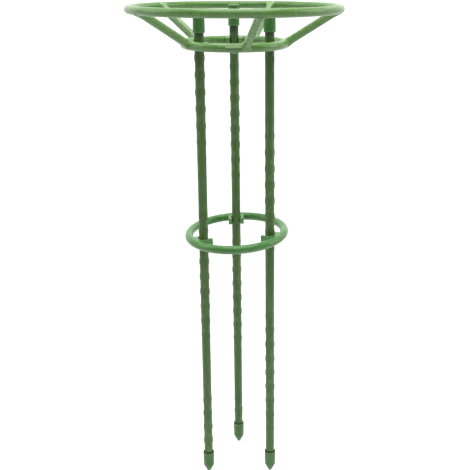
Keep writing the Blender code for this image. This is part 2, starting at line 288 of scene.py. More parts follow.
# What follows from the values above and from the frame
STAKE_CIRCLE = sum(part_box("stake_back_steel_tube"), Vector()).y / 2
CAP_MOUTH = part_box("stake_left_cap")[0].z
CLIP_TIP = STAKE_CIRCLE - COATING_RADIUS - CLIP_REACH
NUB_HALF_WIDTH = COATING_RADIUS * NUB_HALF_SPREAD


def smooth_step(value):
    """0 below 0, 1 above 1, and an S-curve between them."""
    share = np.clip(value, 0.0, 1.0)
    return share * share * (3 - 2 * share)


def smooth_min(a, b, reach):
    """The union of two distance fields, with a fillet where they meet."""
    share = np.clip(0.5 + 0.5 * (b - a) / reach, 0.0, 1.0)
    return b + (a - b) * share - reach * share * (1 - share)


def smooth_max(a, b, reach):
    """What two distance fields share, with its edge rounded off."""
    return -smooth_min(-a, -b, reach)


def rounded_box(from_middle, half_sizes, edge):
    """Distance from a box with rounded edges, given each axis's distance from its middle."""
    over = [np.abs(away) - (half - edge) for away, half in zip(from_middle, half_sizes)]
    outside = np.sqrt(sum(np.maximum(distance, 0) ** 2 for distance in over))
    inside = np.minimum(np.maximum(np.maximum(over[0], over[1]), over[2]), 0)
    return outside + inside - edge


def turned_about_z(x, y, direction):
    """Distances along a direction from +X, and across it."""
    along = x * math.cos(direction) + y * math.sin(direction)
    across = -x * math.sin(direction) + y * math.cos(direction)
    return along, across


def softened(corners, steps=6):
    """The points of a line through (x, y, radius) corners, each rounded off by an arc of its radius."""
    points = []
    last = len(corners) - 1
    for i, (x, y, radius) in enumerate(corners):
        corner = Vector((x, y))
        if i in (0, last) or radius == 0:
            points.append(corner)
            continue
        back = (Vector(corners[i - 1][:2]) - corner).normalized()
        ahead = (Vector(corners[i + 1][:2]) - corner).normalized()
        half = back.angle(ahead) / 2
        centre = corner + (back + ahead).normalized() * (radius / math.sin(half))
        start = corner + back * (radius / math.tan(half)) - centre
        sweep = start.angle_signed(corner + ahead * (radius / math.tan(half)) - centre)
        for step in range(steps + 1):
            turned = Matrix.Rotation(-sweep * step / steps, 2) @ start
            points.append(centre + turned)
    return np.array([tuple(point) for point in points])


def grid_mesh(name, rows, closed_rows=False):
    """A mesh through closed rows of points.

    With closed_rows the last row joins the first, and otherwise both of them are capped.
    """
    count, around = rows.shape[:2]
    index = np.arange(count * around).reshape(count, around)
    beside = np.roll(index, -1, axis=1)
    above = np.roll(index, -1, axis=0)
    above_beside = np.roll(above, -1, axis=1)
    quads = np.stack([index, beside, above_beside, above], axis=-1)
    if not closed_rows:
        quads = quads[:-1]
    faces = quads.reshape(-1, 4).tolist()
    if not closed_rows:
        faces += [index[0][::-1].tolist(), index[-1].tolist()]
    mesh = bpy.data.meshes.new(name)
    mesh.from_pydata(rows.reshape(-1, 3).tolist(), [], faces)
    return mesh


def tidy_mesh(mesh):
    """Merges points that coincide, as on a turned piece's axis, and turns every face outwards."""
    bm = bmesh.new()
    bm.from_mesh(mesh)
    bmesh.ops.remove_doubles(bm, verts=bm.verts, dist=MERGE_DISTANCE)
    bmesh.ops.recalc_face_normals(bm, faces=bm.faces)
    bm.to_mesh(mesh)
    bm.free()
    mesh.shade_smooth()


def mesh_points(mesh):
    """A mesh's points as rows of x, y and z."""
    points = np.empty(len(mesh.vertices) * 3)
    mesh.vertices.foreach_get("co", points)
    return points.reshape(-1, 3)


def give_attribute(mesh, name, values):
    """Gives each of a mesh's points a value that the materials read by its name."""
    attribute = mesh.attributes.new(name, "FLOAT", "POINT")
    attribute.data.foreach_set("value", np.asarray(values, np.float32))


def add_piece(name, mesh, body, node, material, place):
    """Puts a piece in the place of a CAD node. Its place goes into its mesh, so its pattern rides along."""
    mesh.transform(place)
    mesh.materials.append(material)
    piece = bpy.data.objects.new(name, mesh)
    bpy.context.scene.collection.objects.link(piece)
    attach(piece, body)
    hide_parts(node)
    return piece


def bar_distance(x, y, z, radius, bar_radius):
    """Distance from a round bar bent into a ring about Z, with the parting line's ridge on it."""
    ridge = FLASH_HEIGHT * np.exp(-((z / FLASH_WIDTH) ** 2))
    return np.hypot(np.hypot(x, y) - radius, z) - (bar_radius - FLASH_HEIGHT) - ridge


def slot_distance(along, across):
    """Distance from a clip's C-shaped slot: round where the stake sits, with a mouth whose sides lead in."""
    seat = np.hypot(along - STAKE_CIRCLE, across) - SLOT_RADIUS
    lead = np.maximum(CLIP_TIP + CLIP_LEAD - along, 0)
    mouth = np.maximum(np.abs(across) - CLIP_MOUTH / 2 - lead, along - STAKE_CIRCLE)
    return np.where(along > 0, np.minimum(seat, mouth), STAKE_CIRCLE)


def plate_axes(x, y, z):
    """Distances from the bar's middle: round the ring, outwards, out through the plate, and up its face."""
    along, across = turned_about_z(x, y, PLATE_DIRECTION)
    round_ring = np.arctan2(across, along) * BASE_RING_RADIUS
    out = np.hypot(x, y) - BASE_RING_RADIUS
    facing = out * math.cos(PLATE_TILT) + z * math.sin(PLATE_TILT)
    rising = -out * math.sin(PLATE_TILT) + z * math.cos(PLATE_TILT)
    return round_ring, out, facing, rising


def plated_bar(solid, x, y, z):
    """Adds the blank plate and the gate's tab to the front of the base ring's bar."""
    round_ring, out, facing, rising = plate_axes(x, y, z)
    half_sizes = (PLATE_FACE / 2, PLATE_LENGTH / 2, PLATE_HEIGHT / 2)
    plate = rounded_box((facing - PLATE_FACE / 2, round_ring, rising), half_sizes, PLATE_EDGE)
    past_plate = rounded_box((facing - PLATE_FACE * 3 / 2, round_ring, rising), half_sizes, PLATE_EDGE)
    solid = smooth_min(smooth_max(solid, -past_plate, PLATE_EDGE), plate, PLATE_EDGE)
    tab_height = RING_BAR / 2 + TAB_DROP
    half_sizes = (TAB_THICKNESS / 2, TAB_WIDTH / 2, tab_height / 2)
    tab = rounded_box((out, round_ring, z + tab_height / 2), half_sizes, TAB_EDGE)
    return smooth_min(solid, tab, TAB_EDGE)


def clipped_ring_distance(radius, ear, plated):
    """The distance field of a ring with its three clips."""
    length = radius - CLIP_TIP
    half_sizes = (length / 2, SLOT_RADIUS + ear, CLIP_HEIGHT / 2)

    def distance(x, y, z):
        solid = bar_distance(x, y, z, radius, RING_BAR / 2)
        if plated:
            solid = plated_bar(solid, x, y, z)
        for direction, *_ in STAKES.values():
            along, across = turned_about_z(x, y, direction)
            block = rounded_box((along - radius + length / 2, across, z), half_sizes, CLIP_EDGE)
            solid = smooth_min(solid, block, ROOT_FILLET)
            solid = smooth_max(solid, -slot_distance(along, across), SLOT_EDGE)
        return solid

    return distance


def ring_grid(radius, plated):
    """Angles, radii and heights of the cells that a clipped ring is meshed in, fine where it has detail."""
    zones = [(direction, CLIP_SPREAD) for direction, *_ in STAKES.values()]
    if plated:
        zones.append((PLATE_DIRECTION % math.tau, PLATE_SPREAD))
    zones.sort()
    angles = []
    for (middle, spread), (next_middle, next_spread) in zip(zones, zones[1:] + zones[:1]):
        start = middle - spread
        end = middle + spread
        following = end + (next_middle - next_spread - end) % math.tau
        for low, high, turn in ((start, end, FINE_TURN), (end, following, BAR_TURN)):
            count = round((high - low) / turn)
            angles += [low + (high - low) * step / count for step in range(count)]
    outside = 3 * CELL
    half = RING_BAR / 2 + outside
    radii = np.arange(CLIP_TIP - outside, radius + half, CELL)
    middle = np.arange(-FINE_CELLS * FINE_CELL, (FINE_CELLS + 0.5) * FINE_CELL, FINE_CELL)
    upper = np.arange((FINE_CELLS + 1) * FINE_CELL, half + plated * TAB_DROP, CELL)
    return np.array(angles), radii, np.concatenate([-upper[::-1], middle, upper])


def crossing_points(corners, values):
    """Each cell's mean of the points where its edges cross the surface, and whether any edge does."""
    total = np.zeros(corners[0, 0, 0].shape)
    count = np.zeros(values[0, 0, 0].shape)
    ends = [((0, b, c), (1, b, c)) for b in (0, 1) for c in (0, 1)]
    ends += [((a, 0, c), (a, 1, c)) for a in (0, 1) for c in (0, 1)]
    ends += [((a, b, 0), (a, b, 1)) for a in (0, 1) for b in (0, 1)]
    for first, second in ends:
        low, high = values[first], values[second]
        crossed = (low < 0) != (high < 0)
        share = np.where(crossed, low / np.where(crossed, low - high, 1), 0)[..., None]
        point = corners[first] + (corners[second] - corners[first]) * share
        total += np.where(crossed[..., None], point, 0)
        count += crossed
    return total / np.maximum(count, 1)[..., None], count > 0


def onto_surface(points, distance):
    """Moves points along the field's slope until they lie on its surface."""
    for _ in range(SURFACE_ROUNDS):
        here = distance(*points.T)
        ahead = [distance(*(points + SLOPE_STEP * axis).T) for axis in np.eye(3)]
        slope = np.stack([(value - here) / SLOPE_STEP for value in ahead], axis=-1)
        steepness = np.maximum((slope**2).sum(axis=-1), LEAST_STEEPNESS)
        points = points - slope * (here / steepness)[:, None]
    return points


def skin_mesh(name, distance, angles, radii, heights):
    """Meshes a distance field about Z, with one point in each cell that the surface passes.

    Each edge of the grid that crosses the surface gets a face through the points of the four cells round
    that edge.
    """
    turn, reach, level = np.meshgrid(angles, radii, heights, indexing="ij")
    grid = np.stack([reach * np.cos(turn), reach * np.sin(turn), level], axis=-1)
    field = distance(grid[..., 0], grid[..., 1], grid[..., 2])
    cells = (len(radii) - 1, len(heights) - 1)
    corners, values = {}, {}
    for a, b, c in np.ndindex(2, 2, 2):
        window = (slice(None), slice(b, b + cells[0]), slice(c, c + cells[1]))
        corners[a, b, c] = np.roll(grid, -a, axis=0)[window]
        values[a, b, c] = np.roll(field, -a, axis=0)[window]
    points, used = crossing_points(corners, values)
    here = np.full(used.shape, -1)
    here[used] = np.arange(used.sum())
    before = np.roll(here, 1, axis=0)
    inside = field < 0
    along_turn = (inside != np.roll(inside, -1, axis=0))[:, 1:-1, 1:-1]
    along_reach = (inside[:, :-1] != inside[:, 1:])[:, :, 1:-1]
    along_level = (inside[:, :, :-1] != inside[:, :, 1:])[:, 1:-1, :]
    sides = (
        (along_turn, here[:, :-1, :-1], here[:, 1:, :-1], here[:, 1:, 1:], here[:, :-1, 1:]),
        (along_reach, before[:, :, :-1], here[:, :, :-1], here[:, :, 1:], before[:, :, 1:]),
        (along_level, before[:, :-1, :], here[:, :-1, :], here[:, 1:, :], before[:, 1:, :]),
    )
    faces = np.concatenate([np.stack(around, axis=-1)[crossed] for crossed, *around in sides])
    mesh = bpy.data.meshes.new(name)
    mesh.from_pydata(onto_surface(points[used], distance).tolist(), [], faces.tolist())
    return mesh


def plate_marks(x, y, z):
    """The painted highlight on the plate's face, how rubbed the gate's tab is, and how dark the painted
    shadow under the plate is.
    """
    round_ring, _, facing, rising = plate_axes(x, y, z)
    in_front = (np.abs(round_ring) < PLATE_LENGTH / 2) & (facing > 0)
    face = in_front & (facing > PLATE_FACE - CELL) & (np.abs(rising) < PLATE_HEIGHT / 2)
    below_plate = np.abs(rising + PLATE_HEIGHT / 2 + CELL)
    line = in_front * (1 - smooth_step(below_plate / (2 * CELL)))
    tab = (np.abs(round_ring) < TAB_WIDTH / 2) & (z < CELL - RING_BAR / 2)
    return np.maximum(PLATE_SHEEN * face, TAB_WEAR * tab), PLATE_LINE_DARKNESS * line


def seam_dirt_and_shade(z):
    """How dark the dirt and painted shade along a ring's parting line are, by the distance from its plane.
    """
    return SEAM_DARKNESS * np.exp(-((z / FLASH_WIDTH) ** 2) / 2)


def clip_wear_and_sheen(x, y, z):
    """How pale the edges of the clips' slots are: rubbed by the stakes, and with a painted highlight."""
    worn_and_lit = np.zeros(len(x))
    near_edge = smooth_step((np.abs(z) - CLIP_HEIGHT / 2 + 3 * CELL) / (2 * CELL))
    for direction, *_ in STAKES.values():
        near_slot = 1 - smooth_step(slot_distance(*turned_about_z(x, y, direction)) / (3 * CELL))
        worn_and_lit = np.maximum(worn_and_lit, near_slot * near_edge)
    return worn_and_lit


def crease_shade(x, y, radius, ear):
    """The painted shade where the sides of the clips meet the bar."""
    painted_shade = np.zeros(len(x))
    inside = np.hypot(x, y) < radius - RING_BAR / 4
    for direction, *_ in STAKES.values():
        along, across = turned_about_z(x, y, direction)
        off_side = np.abs(np.abs(across) - SLOT_RADIUS - ear)
        near_side = (1 - smooth_step(off_side / CREASE_WIDTH)) * (along > 0)
        painted_shade = np.maximum(painted_shade, CREASE_DARKNESS * inside * near_side)
    return painted_shade


def mark_ring(mesh, radius, ear, plated):
    """Marks a clipped ring's rubbed places and painted highlights, and its painted shade and dirt."""
    x, y, z = mesh_points(mesh).T
    on_bar = smooth_step((np.hypot(x, y) - (radius - RING_BAR / 2)) / CELL + 1)
    dark = seam_dirt_and_shade(z) * on_bar
    worn_and_lit = clip_wear_and_sheen(x, y, z)
    if plated:
        plate_sheen_and_wear, plate_line = plate_marks(x, y, z)
        worn_and_lit = np.maximum(BASE_CLIP_WEAR_AND_SHEEN * worn_and_lit, plate_sheen_and_wear)
        dark = np.maximum(np.maximum(dark, crease_shade(x, y, radius, ear)), plate_line)
    give_attribute(mesh, "dark", dark)
    give_attribute(mesh, "wear_and_sheen", worn_and_lit)


def clipped_ring_mesh(name, radius, ear, plated):
    """A ring with its clips, and with the plate and the tab if it is plated."""
    mesh = skin_mesh(name, clipped_ring_distance(radius, ear, plated), *ring_grid(radius, plated))
    tidy_mesh(mesh)
    mark_ring(mesh, radius, ear, plated)
    return mesh


def rim_mesh(name):
    """The rim: a round bar bent into a circle, with the parting line's ridge outside and inside."""
    turns = np.linspace(0, math.tau, BAR_POINTS, endpoint=False)
    turns = turns - np.sin(2 * turns) * SEAM_CROWDING
    height = (RIM_BAR / 2 - FLASH_HEIGHT) * np.sin(turns)
    ridge = FLASH_HEIGHT * np.exp(-((height / FLASH_WIDTH) ** 2))
    bar = RIM_BAR / 2 - FLASH_HEIGHT + ridge
    angles = np.linspace(0, math.tau, RIM_TURNS, endpoint=False)[:, None]
    reach = RIM_RADIUS + bar * np.cos(turns)
    levels = np.broadcast_to(bar * np.sin(turns), (RIM_TURNS, BAR_POINTS))
    rows = np.stack([reach * np.cos(angles), reach * np.sin(angles), levels], axis=-1)
    mesh = grid_mesh(name, rows, closed_rows=True)
    tidy_mesh(mesh)
    give_attribute(mesh, "dark", seam_dirt_and_shade(mesh_points(mesh)[:, 2]))
    return mesh


def arm_outline():
    """The arm's section as (across, out) points, widest at the parting plane, where it has a ridge."""
    widest = ARM_WIDTH / 2
    face = ARM_FACE_WIDTH / 2
    deep = ARM_DEPTH / 2
    draft = (widest - face) / deep
    corners = [
        (0, deep, 0),
        (face, deep, ARM_EDGE),
        (widest - draft * ARM_RIDGE_HALF, ARM_RIDGE_HALF, ARM_RIDGE_EDGE),
        (widest + ARM_RIDGE_HEIGHT, 0, ARM_RIDGE_EDGE),
        (widest - draft * ARM_RIDGE_HALF, -ARM_RIDGE_HALF, ARM_RIDGE_EDGE),
        (face, -deep, ARM_EDGE),
        (0, -deep, 0),
    ]
    half = softened(corners)
    return np.concatenate([half[:-1], (half * (-1, 1))[:0:-1]])


def arm_section(outline, reach, from_end):
    """The outline at a place along the arm: spread by the flare near both ends, rounded where it starts."""
    flare = ARM_FLARE / 2 * (1 - smooth_step(from_end / ARM_FLARE_LENGTH))
    spread = np.clip(outline / (ARM_WIDTH / 4), -1, 1) * flare
    short = ARM_END_EDGE - min(reach, ARM_END_EDGE)
    drawn_in = ARM_END_EDGE - math.sqrt(ARM_END_EDGE**2 - short**2)
    return (outline + spread) * (1 - drawn_in / (ARM_DEPTH / 2))


def fillet_sides(places, sides, end, bar):
    """Spreads the section's sides where they come close to the end's bar, as a fillet does."""
    spread = np.zeros(len(places))
    for _ in range(FILLET_ROUNDS):
        y = places[:, 1] + spread * np.sign(sides)
        away = np.hypot(np.hypot(places[:, 0], y) - end.x, places[:, 2] - end.z) - bar / 2
        short = np.clip(ARM_FILLET - away, 0, ARM_FILLET)
        spread = ARM_FILLET - np.sqrt(ARM_FILLET**2 - short**2)
    share = np.clip(np.abs(sides) / (ARM_FACE_WIDTH / 2), 0, 1)
    moved = places.copy()
    moved[:, 1] += spread * np.sign(sides) * share**2
    return moved


def arm_mesh(name):
    """An arm from the base ring's bar to the rim's, with a flare and fillets at both ends."""
    low = Vector((BASE_RING_RADIUS, 0, 0))
    high = Vector((RIM_RADIUS, 0, BASKET_DEPTH))
    along = (high - low).normalized()
    across = Vector((0, 1, 0))
    out = along.cross(across)
    length = (high - low).length
    ends = np.linspace(0, ARM_FLARE_LENGTH, ARM_END_STEPS)
    middle = np.linspace(ARM_FLARE_LENGTH, length - ARM_FLARE_LENGTH, ARM_MIDDLE_STEPS + 2)[1:-1]
    outline = arm_outline()
    rows = []
    for reach in np.concatenate([ends, middle, (length - ends)[::-1]]):
        from_end = min(reach, length - reach)
        section = arm_section(outline, reach, from_end)
        sideways, outwards = section[:, :1], section[:, 1:]
        places = np.array(low + along * reach) + sideways * np.array(across) + outwards * np.array(out)
        end, bar = (low, RING_BAR) if reach == from_end else (high, RIM_BAR)
        rows.append(fillet_sides(places, section[:, 0], end, bar))
    mesh = grid_mesh(name, np.array(rows))
    from_middle, from_parting = np.abs(outline).T
    # the section's edges carry a painted highlight, stronger on the upper edges
    on_edge = (from_middle > ARM_FACE_WIDTH / 2 - ARM_EDGE) & (from_parting > ARM_DEPTH / 2 - ARM_EDGE)
    wear_and_sheen = on_edge * np.where(outline[:, 1] > 0, ARM_TOP_SHEEN, ARM_UNDER_SHEEN)
    give_attribute(mesh, "wear_and_sheen", np.tile(wear_and_sheen, len(rows)))
    tidy_mesh(mesh)
    return mesh


def nub_heights(heights, first_nub):
    """How far up a nub's top each height is, from 0 to 1, and the number of the cell that it is in."""
    lowest = math.ceil((POINT_LENGTH + NUB_MARGIN - first_nub) / NUB_CELL)
    highest = math.floor((CAP_MOUTH - NUB_MARGIN - first_nub) / NUB_CELL)
    cell = np.floor((heights - first_nub) / NUB_CELL)
    from_centre = np.abs(heights - first_nub - (cell + 0.5) * NUB_CELL)
    slope = (from_centre - NUB_TOP_LENGTH / 2) / ((NUB_CELL - NUB_TOP_LENGTH) / 2)
    return (1 - smooth_step(slope)) * ((cell >= lowest) & (cell < highest)), cell


def nub_shape(heights, first_nub):
    """How far up onto a nub each point of the coating lies, from 0 to 1. Each height has a row of points."""
    lengthwise, cell = nub_heights(heights, first_nub)
    nub_row = np.repeat(np.arange(NUB_ROWS), len(NUB_OFFSETS))
    from_middle = np.abs(np.tile(np.radians(NUB_OFFSETS), NUB_ROWS)) * COATING_RADIUS
    across = 1 - smooth_step((from_middle - NUB_HALF_WIDTH + NUB_EDGE) / NUB_EDGE)
    in_phase = (cell[:, None] + nub_row) % 2 == 0
    return lengthwise[:, None] * across * in_phase


def coating_shade(heights):
    """The painted shade on the coating at each height: along its neck, under the cap, and at the two mouths.
    """
    neck = smooth_step((heights - CAP_MOUTH + NECK_LENGTH) / NECK_FADE) * NECK_DARKNESS
    collar = smooth_step((heights - CAP_MOUTH + COLLAR_LENGTH) / COLLAR_FADE) * COLLAR_DARKNESS
    to_mouth = np.minimum(np.abs(heights - CAP_MOUTH), np.abs(heights - POINT_LENGTH))
    mouth_shadow = (1 - smooth_step(to_mouth / MOUTH_SHADOW_WIDTH)) * MOUTH_SHADOW_DARKNESS
    return np.maximum(np.maximum(neck, collar), mouth_shadow)


def coating_mesh(name, bottom, top, first_nub, facing_height):
    """A stake's coating: an open tube with rows of nubs that wind slowly round it."""
    row_middles = [360 / NUB_ROWS * row for row in range(NUB_ROWS)]
    offsets = np.radians([middle + offset for middle in row_middles for offset in NUB_OFFSETS])
    heights = np.linspace(bottom, top, round((top - bottom) / COATING_STEP) + 1)
    nub = nub_shape(heights, first_nub)
    bore = np.full((BORE_STEPS, len(offsets)), COATING_RADIUS - COATING_WALL)
    radii = np.concatenate([COATING_RADIUS + NUB_HEIGHT * nub, bore])
    levels = np.concatenate([heights, np.linspace(top, bottom, BORE_STEPS)])[:, None]
    angles = (levels - facing_height) * ROW_TWIST + offsets
    x, y, z = radii * np.cos(angles), radii * np.sin(angles), np.broadcast_to(levels, radii.shape)
    mesh = grid_mesh(name, np.stack([x, y, z], axis=-1), closed_rows=True)
    give_attribute(mesh, "wear_and_sheen", np.concatenate([nub, np.zeros(bore.shape)]).ravel())
    give_attribute(mesh, "dark", np.broadcast_to(coating_shade(levels), radii.shape).ravel())
    tidy_mesh(mesh)
    return mesh


def turned_mesh(name, profile):
    """Turns a profile of (radius, height) points round Z."""
    angles = np.linspace(0, math.tau, TURNED_STEPS, endpoint=False)
    radii = profile[:, 0][:, None]
    heights = np.repeat(profile[:, 1][:, None], TURNED_STEPS, axis=1)
    mesh = grid_mesh(name, np.stack([radii * np.cos(angles), radii * np.sin(angles), heights], axis=-1))
    tidy_mesh(mesh)
    return mesh


def cap_mesh(name):
    """A push-on cap with a lip at its mouth, slight draft and a rounded crown."""
    lip = CAP_RADIUS + CAP_LIP_DEPTH
    profile = softened(
        [
            (0, CAP_BORE_DEPTH, 0),
            (SOCKET_RADIUS, CAP_BORE_DEPTH, CAP_FLOOR_EDGE),
            (SOCKET_RADIUS, 0, CAP_MOUTH_EDGE),
            (lip, 0, CAP_LIP_EDGE),
            (lip, CAP_LIP_HEIGHT, CAP_LIP_STEP_EDGE),
            (CAP_RADIUS, CAP_LIP_HEIGHT + CAP_LIP_DEPTH, CAP_LIP_STEP_EDGE),
            (CAP_CROWN_RADIUS, CAP_LENGTH, CAP_CROWN_EDGE),
            (0, CAP_LENGTH, 0),
        ]
    )
    mesh = turned_mesh(name, profile)
    x, y, z = mesh_points(mesh).T
    # a painted highlight round the crown's edge, and a weaker one on the lip
    crown = smooth_step((z - CAP_LENGTH + CAP_CROWN_EDGE) / CAP_CROWN_EDGE)
    on_lip = (z < CAP_LIP_HEIGHT + CAP_LIP_DEPTH / 2) & (np.hypot(x, y) > CAP_RADIUS - CAP_LIP_DEPTH)
    give_attribute(mesh, "wear_and_sheen", np.maximum(crown, CAP_LIP_SHEEN * on_lip))
    return mesh


def point_mesh(name):
    """A socketed point that widens a little to its mouth, with a full, blunt nose."""
    shares = [i / NOSE_STEPS for i in range(1, NOSE_STEPS)]
    nose = [
        (
            POINT_TIP_RADIUS + (POINT_SHOULDER_RADIUS - POINT_TIP_RADIUS) * share**POINT_NOSE_POWER,
            POINT_NOSE_LENGTH * share,
            0,
        )
        for share in shares
    ]
    profile = softened(
        [
            (0, 0, 0),
            (POINT_TIP_RADIUS, 0, POINT_TIP_EDGE),
            *nose,
            (POINT_SHOULDER_RADIUS, POINT_NOSE_LENGTH, POINT_SHOULDER_EDGE),
            (POINT_MOUTH_RADIUS, POINT_LENGTH - POINT_LIP_HEIGHT, 0),
            (POINT_MOUTH_RADIUS, POINT_LENGTH, POINT_MOUTH_EDGE),
            (POINT_LEAD_RADIUS, POINT_LENGTH, POINT_LEAD_EDGE),
            (SOCKET_RADIUS, POINT_LENGTH - POINT_LEAD_DEPTH, POINT_BORE_EDGE),
            (SOCKET_RADIUS, POINT_BORE_FLOOR, POINT_FLOOR_EDGE),
            (0, POINT_BORE_FLOOR, 0),
        ]
    )
    mesh = turned_mesh(name, profile)
    x, y, z = mesh_points(mesh).T
    reach = np.hypot(x, y)
    # a painted highlight on the mouth's upper edge
    give_attribute(mesh, "wear_and_sheen", (z > POINT_LENGTH - POINT_LIP_HEIGHT / 2) & (reach > POINT_LEAD_RADIUS))
    # painted shade inside the socket, from its lead down to the bore's floor
    give_attribute(mesh, "dark", (z > POINT_BORE_FLOOR) & (reach < POINT_LEAD_RADIUS))
    return mesh


def add_node(tree, kind, inputs=None, **settings):
    """Adds a shader node. An input is either a plain value or the output socket that feeds it."""
    node = tree.nodes.new(kind)
    for name, value in settings.items():
        setattr(node, name, value)
    for name, value in (inputs or {}).items():
        if isinstance(value, bpy.types.NodeSocket):
            tree.links.new(value, node.inputs[name])
        else:
            node.inputs[name].default_value = value
    return node


def arithmetic(tree, operation, first, second):
    """The result of a Math node, such as MULTIPLY or MAXIMUM."""
    return add_node(tree, "ShaderNodeMath", {0: first, 1: second}, operation=operation).outputs[0]


def mix_colours(tree, share, first, second):
    """Mixes two colours, each a socket or a linear (r, g, b)."""
    node = tree.nodes.new("ShaderNodeMix")
    node.data_type = "RGBA"
    for socket, value in ((node.inputs[0], share), (node.inputs[6], first), (node.inputs[7], second)):
        if isinstance(value, bpy.types.NodeSocket):
            tree.links.new(value, socket)
        else:
            socket.default_value = value if isinstance(value, float) else (*value, 1.0)
    return node.outputs[2]


def map_range(tree, value, low, high, to_low, to_high):
    """Maps a value from one range to another, and holds it within that."""
    inputs = {"Value": value, "From Min": low, "From Max": high, "To Min": to_low, "To Max": to_high}
    return add_node(tree, "ShaderNodeMapRange", inputs).outputs["Result"]


def noise(tree, coordinates, scale, detail=2.0, roughness=0.5):
    """Smooth noise about 0.5, with patches about 1 / scale metres across."""
    inputs = {"Vector": coordinates, "Scale": scale, "Detail": detail, "Roughness": roughness}
    return add_node(tree, "ShaderNodeTexNoise", inputs).outputs["Fac"]


def stretched(tree, coordinates, scale):
    """Coordinates scaled by axis, so that a pattern is drawn out along the axes with small scales."""
    return add_node(tree, "ShaderNodeMapping", {"Vector": coordinates, "Scale": scale}).outputs["Vector"]


def bumped(tree, height, distance, normal=None):
    """Bumps as deep as the distance, on top of the bumps of another normal if it is given."""
    inputs = {"Height": height, "Distance": distance, "Strength": BUMP_STRENGTH}
    if normal is not None:
        inputs["Normal"] = normal
    return add_node(tree, "ShaderNodeBump", inputs).outputs["Normal"]


def mark(tree, name):
    """The value that a mesh's points have under a name, or 0 where they have none."""
    return add_node(tree, "ShaderNodeAttribute", attribute_name=name).outputs["Fac"]


def new_material(name):
    """A new material, its node tree, its Principled shader and its object coordinates."""
    material = bpy.data.materials.new(name)
    material.use_nodes = True
    tree = material.node_tree
    place = add_node(tree, "ShaderNodeTexCoord").outputs["Object"]
    return material, tree, tree.nodes["Principled BSDF"], place


def shade(colour, factor):
    """A colour made lighter or darker."""
    return tuple(channel * factor for channel in colour)


def tint(colour, other, share):
    """A colour moved towards another."""
    return tuple(a + (b - a) * share for a, b in zip(colour, other))


def plastic_colour(tree, place, colour, streak, wear_and_sheen):
    """Clouded, streaked and speckled plastic, paler at its rubbed places and painted highlights, and darker
    at its painted shade and dirt.
    """
    cloud = map_range(tree, noise(tree, place, CLOUD_SCALE, detail=3.0), *NOISE_MIDDLE, 0.0, 1.0)
    clouded = mix_colours(tree, cloud, shade(colour, 1 - CLOUD_CONTRAST), shade(colour, 1 + CLOUD_CONTRAST))
    chalky = tint(colour, CHALK, CHALK_SHARE)
    streaks = map_range(tree, streak, *STREAK_PEAKS, 0.0, STREAK_SHARE)
    streaked = mix_colours(tree, streaks, clouded, chalky)
    speck = noise(tree, place, SPECK_SCALE, roughness=0.6)
    specks = map_range(tree, speck, *SPECK_PEAKS, 0.0, SPECK_SHARE)
    specked = mix_colours(tree, specks, streaked, chalky)
    patch = noise(tree, place, PATCH_SCALE, detail=3.0)
    patches = map_range(tree, patch, *PATCH_EDGES, LEAST_WEAR_AND_SHEEN * wear_and_sheen, wear_and_sheen)
    # the pale mark: rubbed nubs and tab, and painted highlights on edges, crowns, lips and the plate
    rubbed_and_lit = arithmetic(tree, "MULTIPLY", mark(tree, "wear_and_sheen"), patches)
    worn_and_lit = mix_colours(tree, rubbed_and_lit, specked, tint(colour, WORN_AND_LIT_PALE, WORN_AND_LIT_SHARE))
    # the dark mark: painted shade at necks, mouths, sockets, creases and under the plate, and dirt with
    # painted shade along the parting lines
    darkened = arithmetic(tree, "MULTIPLY", mark(tree, "dark"), DARK_MARK_SHARE)
    return mix_colours(tree, darkened, worn_and_lit, shade(colour, DARK_MARK_SHADE))


def moulded_plastic(name):
    """One of the plastics: streaked the way it flowed, with a smeared gloss and a fine grain."""
    colour, rough, drawn, wear_and_sheen, gloss = PLASTICS[name]
    material, tree, shader, place = new_material(name)
    streak = noise(tree, stretched(tree, place, drawn), STREAK_SCALE, detail=3.0)
    tree.links.new(plastic_colour(tree, place, colour, streak, wear_and_sheen), shader.inputs["Base Color"])
    shader.inputs["Specular IOR Level"].default_value = gloss
    smear = noise(tree, place, SMEAR_SCALE, detail=4.0, roughness=0.65)
    smeared = map_range(tree, smear, *NOISE_MIDDLE, rough - SMEAR_POLISH, rough + SMEAR_ROUGHNESS)
    tree.links.new(smeared, shader.inputs["Roughness"])
    waved = bumped(tree, noise(tree, place, WAVE_SCALE), WAVE_DEPTH)
    lined = bumped(tree, streak, STREAK_DEPTH, waved)
    grained = bumped(tree, noise(tree, place, GRAIN_SCALE), GRAIN_DEPTH, lined)
    tree.links.new(grained, shader.inputs["Normal"])
    return material


def galvanised_steel():
    """Zinc-coated tube: spangled grey metal with a drawn, slightly rough surface."""
    material, tree, shader, place = new_material("galvanised steel")
    pattern = {"Vector": place, "Scale": SPANGLE_SCALE}
    spangle = add_node(tree, "ShaderNodeTexVoronoi", pattern).outputs["Distance"]
    cells = map_range(tree, spangle, 0.0, SPANGLE_REACH, 0.0, 1.0)
    spangled = mix_colours(tree, cells, STEEL_GREY, shade(STEEL_GREY, STEEL_SHADE))
    tree.links.new(spangled, shader.inputs["Base Color"])
    shader.inputs["Metallic"].default_value = 1.0
    rough = map_range(tree, spangle, 0.0, SPANGLE_REACH, *STEEL_ROUGHNESS)
    tree.links.new(rough, shader.inputs["Roughness"])
    lines = noise(tree, stretched(tree, place, LINES_DOWN_TUBES), LINE_SCALE)
    tree.links.new(bumped(tree, lines, LINE_DEPTH), shader.inputs["Normal"])
    return material


def middle_height(node):
    """The height of the middle of a CAD node's box."""
    low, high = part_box(node)
    return (low.z + high.z) / 2


def tilted_place(height, pitch, roll):
    """A place on the cage's axis, tipped about X by the pitch and then about Y by the roll."""
    tilt = Matrix.Rotation(roll, 4, "Y") @ Matrix.Rotation(pitch, 4, "X")
    return Matrix.Translation((0, 0, height)) @ tilt


